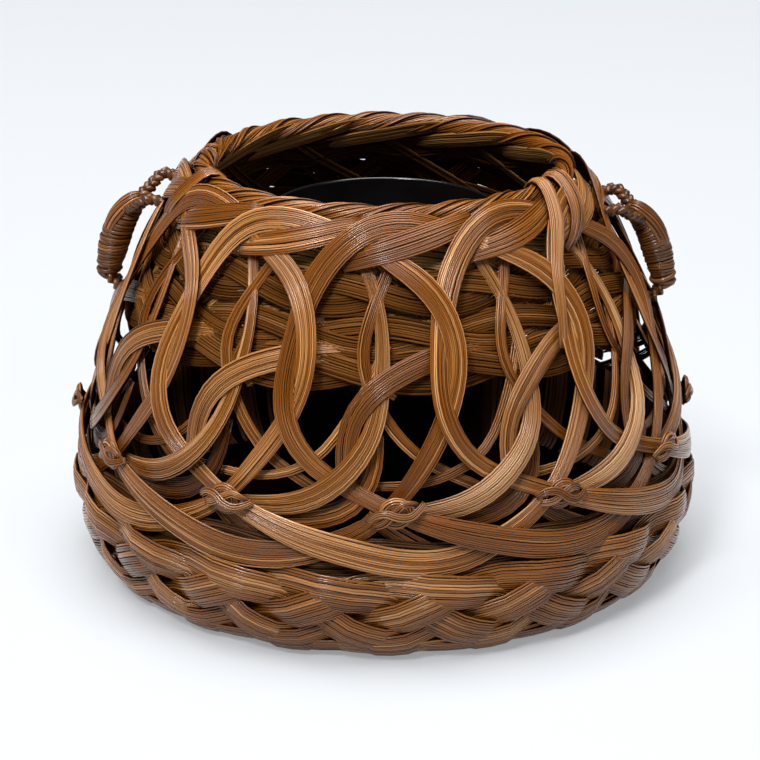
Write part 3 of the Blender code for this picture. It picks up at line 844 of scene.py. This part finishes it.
def bamboo(name, dark, middle, light, roughness, shine=0.26, coat=0.50, edge=0.08):
    """Smoked bamboo: each split with a tone of its own, streaks along it, and painted shade that darkens its
    sides and the grooves beside it.
    """
    nodes = Nodes(name)
    tone = nodes.mark("tone")
    run = nodes.mark("run")
    crown = nodes.mark("crown")
    slow = nodes.noise(nodes.scaled((run, tone), SLOW_STREAKS))
    quick = nodes.noise(nodes.scaled((run, tone, crown), QUICK_STREAKS))
    fibres = nodes.noise(nodes.scaled((run, tone, crown), FIBRES), detail=1.0)
    shade = nodes.plus(nodes.times(tone, TONE_SHARE), slow)
    shade = nodes.plus(shade, nodes.times(quick, QUICK_SHARE))
    shade = nodes.plus(shade, SHADE_SHIFT)
    colour = nodes.ramp(shade, SHADE_STOPS, (dark, middle, light))
    # Painted shade: the colour darkens down a split's sides and into the grooves, following the crown
    groove_shade = tuple(edge * tint for tint in PAINTED_GROOVE_SHADE_TINT)
    side = nodes.ramp(crown, PAINTED_GROOVE_SHADE_STOPS, (groove_shade, WHITE))
    least = roughness - ROUGHNESS_SPREAD / 2.0
    values = {
        "Base Color": nodes.multiply(colour, side),
        "Roughness": nodes.plus(nodes.times(quick, ROUGHNESS_SPREAD), least),
        "Specular IOR Level": nodes.times(crown, shine) if shine > 0.0 else 0.0,
        "Coat Weight": nodes.times(crown, coat) if coat > 0.0 else 0.0,
        "Coat Roughness": COAT_ROUGHNESS,
        "Normal": nodes.bump(fibres, FIBRE_STRENGTH, FIBRE_HEIGHT),
    }
    nodes.feed(nodes.shader, values)
    return nodes.material


def lacquer(name):
    """Black lacquer with faint brush marks and dust."""
    nodes = Nodes(name)
    place = nodes.add("TexCoord", "Object", {})
    cloud = nodes.noise(place, LACQUER_CLOUDS, 4.0)
    dust = nodes.noise(place, LACQUER_DUST, 2.0)
    values = {
        "Base Color": nodes.ramp(cloud, LACQUER_STOPS, LACQUER_COLOURS),
        "Roughness": nodes.plus(nodes.times(dust, DUST_ROUGHNESS), LACQUER_ROUGHNESS),
        "Normal": nodes.bump(cloud, BRUSH_STRENGTH, BRUSH_HEIGHT),
    }
    nodes.feed(nodes.shader, values)
    return nodes.material


LOOKS = {kind: bamboo(f"{kind}_look", *values) for kind, values in BAMBOOS.items()}
LOOKS["black_lacquer"] = lacquer("black_lacquer_look")


# Ribbons of the wall


def bank(middle, normal):
    """Normals that lean into a ribbon's bends, as a bent ribbon does."""
    bend = np.gradient(heading(middle), run_of(middle), axis=0)
    bend = bend - np.sum(bend * normal, axis=1, keepdims=True) * normal
    return unit(normal + BANK * soften(bend, CORNER_PASSES))


def wall_ribbon(bundle, route, index, splits, tone, grooves, share=1.0):
    """A ribbon along a route on the wall, at one repeat, with a share of the route's width."""
    turn, rise, layer, width = np.array(route).T
    turn = repeat_turn(index) + turn * math.tau / REPEATS
    width = width * share * RIBBON_WIDTH
    rows = smooth(np.column_stack([turn, rise_height(rise), layer_lift(layer), width]))
    run = run_of(wall_point(*rows[:, :3].T))
    free = STRAY * np.clip(np.abs(rows[:, 1] - KNOT_HEIGHT) / STRAY_START, 0.0, 1.0)
    rows[:, 0] += free * bundle.sway(run, run[-1], STRAY_WAVE) / wall_radius(rows[:, 1])
    rows[:, 1] += free * bundle.sway(run, run[-1], STRAY_WAVE)
    rows = soften(even(wall_point(*rows[:, :3].T), rows, RING_STEP), CORNER_PASSES)
    turn, height, lift, width = rows.T
    middle = wall_point(turn, height, lift)
    bundle.ribbon(middle, bank(middle, wall_normal(turn, height)), width, splits, tone, grooves=grooves)


def add_wall_ribbons():
    for index in range(REPEATS):
        number = f"{index + 1:02d}"
        for kind, (route, splits, share, seed) in WALL_RIBBONS.items():
            bundle = Bundle(seed + index)
            tone = MIDDLE_TONE + bundle.rng.uniform(*RIBBON_TONES)
            wall_ribbon(bundle, route, index, splits, tone, 3, share)
            node = f"{kind}_ribbon_{number}"
            bundle.make(f"{kind}_splits_{number}", f"{kind}_bamboo", [node])


def add_strands():
    """The narrower strands of each repeat."""
    for index in range(REPEATS):
        bundle = Bundle(seed=400 + index)
        for route, splits, tone, share in STRANDS:
            shade = tone + bundle.rng.uniform(*STRAND_TONES)
            wall_ribbon(bundle, route, index, splits, shade, 2, share)
        bundle.make(f"strand_splits_{index + 1:02d}", "hook_bamboo")


def add_inside_strips():
    """The strips and hoops on the inside of the wall."""
    bundle = Bundle(seed=420)
    for index in range(REPEATS):
        for route, splits, tone, grooves in INSIDE_STRIPS:
            wall_ribbon(bundle, route, index, splits, tone, grooves)
    turn = full_turn(BAND_STEPS)
    for rise, layer in HOOPS:
        height = rise_height(rise) + HOOP_WAVE * np.sin(REPEATS * turn)
        middle = wall_point(turn, height, np.full_like(turn, layer_lift(layer)))
        normal = wall_normal(turn, height)
        bundle.ribbon(middle, normal, HOOP_WIDTH, BAND_SPLITS, HOOP_TONE, grooves=4, closed=True)
    # The strips and hoops take the paler inside bamboo, painted light on the shaded inside
    bundle.make("inner_strip_splits", "band_bamboo", look="inside_painted_light_bamboo")


def add_knots():
    """A small knot of splits on each crossing: a ring, with strands across it to both sides."""
    angle = full_turn(KNOT_STEPS)
    wide, tall, deep = KNOT_RING
    ring = np.stack([wide * np.cos(angle), tall * np.sin(angle), deep * np.sin(angle)], axis=1)
    lift = layer_lift(KNOT_LAYER) + RIBBON_THICKNESS / 2.0 + KNOT_CORD_RADIUS
    for index in range(REPEATS):
        number = f"{index + 1:02d}"
        bundle = Bundle(seed=440 + index)
        turn = repeat_turn(index)
        out = wall_normal(turn, KNOT_HEIGHT)
        right = sideways(np.array(turn))
        up = np.cross(out, right)
        up = up * np.sign(up[2])
        place = wall_point(turn, KNOT_HEIGHT, lift)
        lean = bundle.rng.uniform(-KNOT_LEAN, KNOT_LEAN)
        across = right * math.cos(lean) + up * math.sin(lean)
        along = up * math.cos(lean) - right * math.sin(lean)
        axes = np.array([across, along, out])
        facing = unit(out + KNOT_FACING * unit(ring) @ axes)
        bundle.ribbon(place + ring @ axes, facing, KNOT_STRAND, KNOT_SPLITS, grooves=1, closed=True)
        for wing in KNOT_WINGS:
            rows = smooth(np.array(wing) * MILLIMETRE)
            rows = even(rows, rows, KNOT_WING_STEP)
            middle = place + rows[:, :3] @ axes
            normal = np.broadcast_to(out, middle.shape)
            bundle.ribbon(middle, normal, rows[:, 3], KNOT_SPLITS, crown=KNOT_WING_CROWN, grooves=1)
        bundle.make(f"knot_splits_{number}", "knot_bamboo", [f"tie_knot_{number}"])


def add_bands():
    """Wavy ribbons round the inside of the wall, two crossing each other in each row."""
    turn = full_turn(BAND_STEPS)
    bundles = {"upper": Bundle(seed=500), "lower": Bundle(seed=510)}
    for place, (name, rise, layer) in enumerate(BAND_ROWS):
        phase = turn * REPEATS / 2.0 + place * BAND_PHASE
        for side in (1.0, -1.0):
            height = rise_height(rise) + side * BAND_WAVE * np.sin(phase)
            middle = wall_point(turn, height, layer_lift(layer + side * BAND_WEAVE * np.cos(phase)))
            normal = wall_normal(turn, height)
            bundles[name].ribbon(middle, normal, BAND_WIDTH, BAND_SPLITS, grooves=3, closed=True)
    for name, bundle in bundles.items():
        # The bands' darker bamboo is painted shade
        bundle.make(f"band_splits_{name}", "band_bamboo", [f"inner_band_{name}"])


# Plaits


def add_base_plait():
    """A strand plaited with itself round the bottom corner, and the ribbons behind and under it."""
    bundle = Bundle(seed=600)
    steps = BASE_BIGHTS * BASE_STEPS
    part = np.arange(steps) / steps
    turn = BASE_LAPS * math.tau * part
    phase = BASE_BIGHTS * math.tau * part
    over = np.tanh(BASE_SNAP * np.sin((BASE_LAPS - 1) * phase)) / math.tanh(BASE_SNAP)
    swing = (np.sin(phase) + BASE_FLAT * np.sin(3.0 * phase)) / (1.0 - BASE_FLAT)
    corner = BASE_MIDDLE + BASE_SWING * swing / corner_scale(BASE_MIDDLE)
    middle = corner_point(turn, corner, BASE_HEAVE * over - BASE_DEPTH)
    normal = corner_normal(turn, corner)
    bundle.ribbon(middle, normal, BASE_WIDTH, BASE_SPLITS, crown=BASE_CROWN, grooves=3, closed=True)
    turn = full_turn(BAND_STEPS)
    for angle, lift, weave, width, first in BASE_ROUNDS:
        phase = BASE_ROUND_WAVES * turn + first
        corner = math.radians(angle) + BASE_ROUND_SWING * np.sin(phase)
        middle = corner_point(turn, corner, lift + weave * np.cos(phase))
        normal = corner_normal(turn, corner)
        bundle.ribbon(middle, normal, width, BASE_ROUND_SPLITS, BASE_ROUND_TONE, grooves=3, closed=True)
    bundle.make("base_plait_splits", "plait_bamboo", ["base_plait"])


def add_rim_plait():
    """A broad strand laid round the mouth a few times and twisted with itself."""
    bundle = Bundle(seed=610)
    steps = RIM_TWISTS * RIM_STEPS
    part = math.tau * np.arange(steps) / steps
    turn = RIM_LAPS * part
    normal = round_point(turn, np.cos(RIM_TWISTS * part), np.sin(RIM_TWISTS * part))
    middle = rim_axis(turn) + RIM_TWIST * normal
    bundle.ribbon(middle, normal, RIM_WIDTH, RIM_SPLITS, crown=RIM_CROWN, grooves=4, closed=True)
    bundle.make("rim_plait_splits", "plait_bamboo", ["rim_plait"])


def add_rim_wraps():
    """Ribbons that slant down the inside of the rim, each over the next."""
    bundle = Bundle(seed=630)
    for start in full_turn(RIM_WRAPS):
        rows = smooth(RIM_WRAP_PATH)
        rows[:, 0] = start + rows[:, 0] * RIM_WRAP_TURN
        rows = even(round_point(*rows[:, :3].T), rows, RING_STEP)
        normal = -wall_normal(rows[:, 0], rows[:, 2])
        middle = round_point(*rows[:, :3].T)
        bundle.ribbon(middle, normal, rows[:, 3], RIM_WRAP_SPLITS, RIM_WRAP_TONE, grooves=3)
    # The rim wraps take the paler inside bamboo, painted light on the shaded inside of the rim
    bundle.make("rim_wrap_splits", "plait_bamboo", look="inside_painted_light_bamboo")


def add_folds(side, index):
    """Ribbons that come from inside, fold over the rim beside a handle and run down the outside."""
    bundle = Bundle(seed=620 + index)
    handle = repeat_turn(index + HANDLE_TURN)
    inmost = RIM_RADIUS - FOLD_INSET
    crest = RIM_HEIGHT + FOLD_CREST
    for place, (angle, lean, width, down) in enumerate(FOLDS[side]):
        path = [(inmost + out, crest - drop, share) for out, drop, share in FOLD_OVER]
        for rise, lift, share in down:
            height = float(rise_height(rise))
            path.append((float(wall_radius(height)) + lift, height, share))
        radius, height, share = np.array(path).T
        turn = handle + math.radians(angle) + math.radians(lean) * share
        rows = smooth(np.column_stack([turn, radius, height, width * (1.0 - FOLD_TAPER * share**2)]))
        rows = soften(even(round_point(*rows[:, :3].T), rows, FOLD_STEP), FOLD_PASSES)
        middle = round_point(*rows[:, :3].T)
        normal = np.cross(heading(middle), sideways(rows[:, 0]))
        tone = MIDDLE_TONE + FOLD_TONE_STEP * place
        bundle.ribbon(middle, normal, rows[:, 3], FOLD_SPLITS, tone, crown=FOLD_CROWN)
    angle = full_turn(RIM_TIE_STEPS)
    for place, slant in RIM_TIES[side]:
        turn = handle + np.radians(place + slant * np.sin(angle))
        out = round_point(turn, np.cos(angle), np.sin(angle))
        middle = rim_axis(turn) + RIM_TIE_RADIUS * out
        bundle.ribbon(
            middle, out, RIM_TIE_WIDTH, RIM_TIE_SPLITS, RIM_TIE_TONE,
            crown=RIM_TIE_CROWN, closed=True,
        )
    bundle.make(f"rim_fold_splits_{side}", "sweep_bamboo")


# Floor and liner


def add_floor():
    """A mat of ribbons over and under each other."""
    bundle = Bundle(seed=700)
    edge = BASE_RADIUS - FLOOR_FOOT_INSET
    rows = int(edge / MAT_PITCH)
    for axis in (0, 1):
        for row in range(-rows, rows + 1):
            half = math.sqrt(edge**2 - (row * MAT_PITCH) ** 2)
            along = np.linspace(-half, half, max(4, int(half / MAT_STEP)))
            wave = MAT_WAVE * np.cos(math.pi * (along / MAT_PITCH + row + axis))
            level = np.full_like(along, row * MAT_PITCH)
            pair = (along, level) if axis == 0 else (level, along)
            middle = np.stack([*pair, FLOOR_THICKNESS / 2.0 + wave], axis=1)
            down = np.broadcast_to((0.0, 0.0, -1.0), middle.shape)
            bundle.ribbon(middle, down, MAT_WIDTH, MAT_SPLITS, crown=0.0, thick=MAT_THICKNESS, grooves=1)
    bundle.make("floor_mat", "floor_bamboo", ["basket_floor"])


def add_floor_side():
    """The floor's turned-up side: a thin shell, stakes up its inside and wavy ribbons round its outside."""
    bundle = Bundle(seed=710)
    foot = BASE_RADIUS - FLOOR_FOOT_INSET + SEAT_GAP
    lip = float(wall_radius(FLOOR_TOP)) - SIDE_LIP_INSET
    top = FLOOR_TOP - SIDE_LIP_DROP
    corner = np.linspace(0.0, math.pi / 2.0, SIDE_CORNER_STEPS)[:-1]
    outer = corner_point(math.pi / 2.0, corner, -FLOOR_DEPTH)[:, (0, 2)]
    inner = corner_point(math.pi / 2.0, corner, -FLOOR_DEPTH - SIDE_SHELL)[:, (0, 2)]
    profile = [(foot, SIDE_SHELL), *inner, (lip - SIDE_SHELL, top), (lip, top), *outer[::-1], (foot, 0.0)]
    # The shell takes the darkest tone and the full groove darkening, a painted shade
    bundle.turned(profile, SIDE_STEPS, 0.0, 0.0)
    corner = np.linspace(SIDE_STAKE_START, math.pi / 2.0, SIDE_STAKE_STEPS)
    for start in full_turn(SIDE_STAKES):
        turn = np.full_like(corner, start)
        middle = corner_point(turn, corner, -FLOOR_DEPTH - SIDE_STAKE_DEPTH)
        end_height = np.array([FLOOR_TOP - SIDE_STAKE_TOP_DROP])
        end = round_point(turn[:1], lip - SIDE_STAKE_TOP_INSET, end_height)
        normal = -corner_normal(turn, corner)
        middle = np.vstack([middle, end])
        normal = np.vstack([normal, normal[-1:]])
        bundle.ribbon(middle, normal, SIDE_STAKE_WIDTH, SIDE_STAKE_SPLITS, SIDE_STAKE_TONE, grooves=1)
    turn = full_turn(BAND_STEPS)
    for place, (height, lift, waves) in enumerate(SIDE_ROUNDS):
        level = height + SIDE_ROUND_WAVE * np.sin(turn * waves + place)
        middle = wall_point(turn, level, np.full_like(turn, lift))
        normal = wall_normal(turn, level)
        bundle.ribbon(
            middle, normal, SIDE_ROUND_WIDTH, SIDE_ROUND_SPLITS, SIDE_ROUND_TONE,
            grooves=3, closed=True,
        )
    bundle.make("floor_side_splits", "floor_bamboo", ["floor_side"])


def add_liner():
    """A cup with a round lip, rounded inside at its floor and outside at its foot."""
    bundle = Bundle(seed=720)
    foot = FLOOR_THICKNESS + SEAT_GAP
    floor = foot + LINER_WALL
    rim = RIM_HEIGHT - LINER_DROP
    lip = LINER_WALL / 2.0
    profile = [(LINER_CENTRE, floor)]
    profile += [(LINER_FOOT_RADIUS - inset, floor + rise) for inset, rise in LINER_FLOOR_CURVE]
    for angle in np.linspace(0.0, math.pi, LINER_LIP_STEPS):
        across = lip * math.cos(angle)
        profile.append((LINER_RIM_RADIUS - lip - across, rim - lip + lip * math.sin(angle)))
    profile += [(LINER_FOOT_RADIUS - inset, foot + rise) for inset, rise in LINER_FOOT_CURVE]
    profile.append((LINER_CENTRE, foot))
    bundle.turned(profile, LINER_STEPS, MIDDLE_TONE, 1.0)
    bundle.make("liner_cup", "black_lacquer", ["liner"], "liner")


# Ear handles


def handle_point(turn, part):
    """Points on a handle's middle line, part of the way from its top to its foot."""
    rise = HANDLE_TOP_RISE + part * (HANDLE_FOOT_RISE - HANDLE_TOP_RISE)
    seat = HANDLE_CORE_RADIUS + SEAT_GAP - part * LAYER_STEP
    reach = HANDLE_REACH * np.sin(math.pi * part**HANDLE_SHOULDER) ** 2
    return wall_point(np.full_like(part, turn), rise_height(rise), seat + reach)


def handle_offset(turn, part, angle, distance):
    """Points round a handle's middle line, and their directions from it."""
    probe = 0.001
    ahead = unit(handle_point(turn, part + probe) - handle_point(turn, part - probe))
    level = np.broadcast_to(sideways(np.array(turn)), ahead.shape)
    outward = np.cross(ahead, level)
    offset = level * np.cos(angle)[:, None] + outward * np.sin(angle)[:, None]
    return handle_point(turn, part) + offset * np.asarray(distance)[..., None], offset


def braid(bundle, route, radius, strands, pitch, tone):
    """Cords braided together along a route."""
    rows = smooth(route)
    rows = even(rows, rows, BRAID_STEP)
    run = run_of(rows)
    ahead = heading(rows)
    side = unit(np.cross(ahead, (0.0, 0.0, 1.0)))
    up = np.cross(side, ahead)
    for strand in range(strands):
        phase = run * math.tau / pitch + strand * math.tau / strands
        across = BRAID_SWING * radius * np.sin(phase)
        over = BRAID_HEAVE * radius * np.sin(2.0 * phase)
        middle = rows + side * across[:, None] + up * over[:, None]
        bundle.cord(middle, radius, CORD_SIDES, tone + bundle.rng.normal(0.0, BRAID_TONE))


def add_handle_core(side, index):
    """A handle's core, the braids that tie its ends to the wall, and the turns of cord round its foot."""
    bundle = Bundle(seed=800 + index)
    turn = repeat_turn(index + HANDLE_TURN)
    level = sideways(np.array(turn))
    # Painted shade darkens the braids, most on the right handle
    tone = BRAID_PAINTED_SHADES[side]
    part = np.linspace(*CORE_PART, CORE_STEPS)
    bundle.cord(handle_point(turn, part), HANDLE_CORE_RADIUS - CORE_TRIM, CORE_SIDES, CORE_TONE)
    start = handle_point(turn, np.array([TIE_PART]))[0]
    for angle, rise in HANDLE_TIES[side]:
        height = float(rise_height(rise))
        heights = np.array([height - TIE_DROP, height])
        lifts = np.array([TIE_LIFT, -TIE_LIFT])
        near, far = wall_point(np.full(2, turn + math.radians(angle)), heights, lifts)
        shift = level * math.copysign(TIE_SHIFT, angle)
        route = [start + shift, 0.5 * start + 0.5 * near + shift * TIE_SPREAD, near, far]
        braid(bundle, route, *TIE_BRAID, TIE_TONE + tone)
    low = float(rise_height(HANDLE_FOOT_RISE + FOOT_RISE))
    heights = low + np.array(FOOT_END_RISES)
    for shift in (-FOOT_SHIFT, FOOT_SHIFT):
        foot = handle_point(turn, np.array(FOOT_PARTS)) + level * shift
        ends = wall_point(np.full(2, turn), heights, np.array(FOOT_END_LIFTS))
        route = np.vstack([foot, ends + level * shift * FOOT_SPREAD])
        braid(bundle, route, *FOOT_BRAID, MIDDLE_TONE + tone)
    angle = full_turn(FOOT_TURN_STEPS)
    for spot, reach in FOOT_TURNS:
        part = spot + FOOT_TURN_LEAN * np.sin(angle + spot * FOOT_TURN_PHASE)
        middle, _ = handle_offset(turn, part, angle, np.full_like(angle, reach))
        bundle.cord(middle, FOOT_TURN_RADIUS, CORD_SIDES, closed=True)
    bundle.make(f"handle_core_{side}_bent", "handle_bamboo", [f"handle_core_{side}"])


def bulge(share, start, span, power):
    """Part of a wave, raised to a power."""
    return np.sin(math.pi * (start + span * share)) ** power


def add_handle_wrap(side, index):
    """The winding round a handle, and the strip that covers its top and dives under the winding."""
    bundle = Bundle(seed=820 + index)
    turn = repeat_turn(index + HANDLE_TURN)
    # Painted shade darkens the winding and its cover strip, most on the right handle
    tone = WRAP_PAINTED_SHADES[side]
    share = np.linspace(0.0, 1.0, HANDLE_WRAPS * WRAP_STEPS)
    angle = share * HANDLE_WRAPS * math.tau
    lean = WRAP_LEAN * np.sin(angle + WRAP_LEAN_PHASE)
    lean = lean + WRAP_STRAY * bundle.sway(share, 1.0, WRAP_STRAY_WAVE)
    girth = WRAP_GIRTH + WRAP_SWELL * np.sin(math.pi * share**WRAP_SWELL_PLACE) ** WRAP_SWELL_FLAT
    middle, normal = handle_offset(turn, WRAP_START + WRAP_SPAN * share + lean, angle, girth)
    bundle.ribbon(middle, normal, WRAP_WIDTH, WRAP_SPLITS, MIDDLE_TONE + tone, crown=WRAP_CROWN, grooves=1)
    share = np.linspace(0.0, 1.0, COVER_STEPS)
    lift = COVER_LIFT * bulge(share, *COVER_RISE)
    width = COVER_WIDTH * bulge(share, *COVER_TAPER)
    front = math.copysign(1.0, math.sin(turn))
    angle = math.pi / 2.0 + front * (COVER_ANGLE[0] - COVER_ANGLE[1] * share)
    middle, normal = handle_offset(turn, COVER_START + COVER_SPAN * share, angle, lift)
    bundle.ribbon(middle, normal, width, COVER_SPLITS, COVER_TONE + tone, crown=COVER_CROWN, grooves=3)
    bundle.make(f"handle_wrap_{side}", "handle_cord", [f"handle_binding_{side}"])


# Stage, light and camera


def add_stage():
    nodes = Nodes("pale_floor")
    rays = nodes.tree.nodes.new("ShaderNodeLightPath")
    seen = nodes.plus(rays.outputs["Is Camera Ray"], rays.outputs["Is Glossy Ray"])
    seen = nodes.plus(seen, rays.outputs["Is Transmission Ray"])
    values = {
        "Base Color": STAGE_COLOUR,
        "Roughness": STAGE_ROUGHNESS,
        "Specular IOR Level": STAGE_SHINE,
        "Emission Color": STAGE_GLOW,
        "Emission Strength": nodes.times(seen, STAGE_GLOW_STRENGTH),
    }
    nodes.feed(nodes.shader, values)
    bpy.ops.mesh.primitive_plane_add(size=STAGE_SIZE, location=STAGE_PLACE)
    floor = bpy.context.object
    floor.name = "floor"
    floor.data.materials.append(nodes.material)


def add_light():
    world = bpy.data.worlds.new("studio")
    bpy.context.scene.world = world
    world.use_nodes = True
    back = world.node_tree.nodes["Background"]
    back.inputs["Color"].default_value = WORLD_COLOUR
    back.inputs["Strength"].default_value = WORLD_STRENGTH
    for name, (place, aim, size, power) in LAMPS.items():
        light = bpy.data.lights.new(name, "AREA")
        light.size = size
        light.energy = power
        lamp = bpy.data.objects.new(name, light)
        bpy.context.scene.collection.objects.link(lamp)
        lamp.location = place
        away = np.array(place) - np.array(aim)
        flat = math.hypot(away[0], away[1])
        around = math.atan2(away[1], away[0]) + math.pi / 2.0
        lamp.rotation_euler = (math.atan2(flat, away[2]), 0.0, around)


def add_camera():
    data = bpy.data.cameras.new("camera")
    data.sensor_fit = "HORIZONTAL"
    data.sensor_width = SENSOR_WIDTH
    data.lens = FOCAL_PIXELS / PICTURE_PIXELS * SENSOR_WIDTH
    data.shift_x = (PICTURE_PIXELS / 2.0 - AXIS_PIXEL) / PICTURE_PIXELS
    camera = bpy.data.objects.new("camera", data)
    bpy.context.scene.collection.objects.link(camera)
    camera.location = CAMERA_PLACE
    camera.rotation_euler = (math.radians(90.0 - CAMERA_PITCH), 0.0, 0.0)
    bpy.context.scene.camera = camera


bpy.context.scene.view_settings.view_transform = "Standard"
add_camera()
add_stage()
add_light()
add_wall_ribbons()
add_strands()
add_inside_strips()
add_knots()
add_bands()
add_base_plait()
add_rim_plait()
add_rim_wraps()
for side, index in HANDLE_REPEATS.items():
    add_folds(side, index)
add_floor()
add_floor_side()
add_liner()
for side, index in HANDLE_REPEATS.items():
    add_handle_core(side, index)
    add_handle_wrap(side, index)
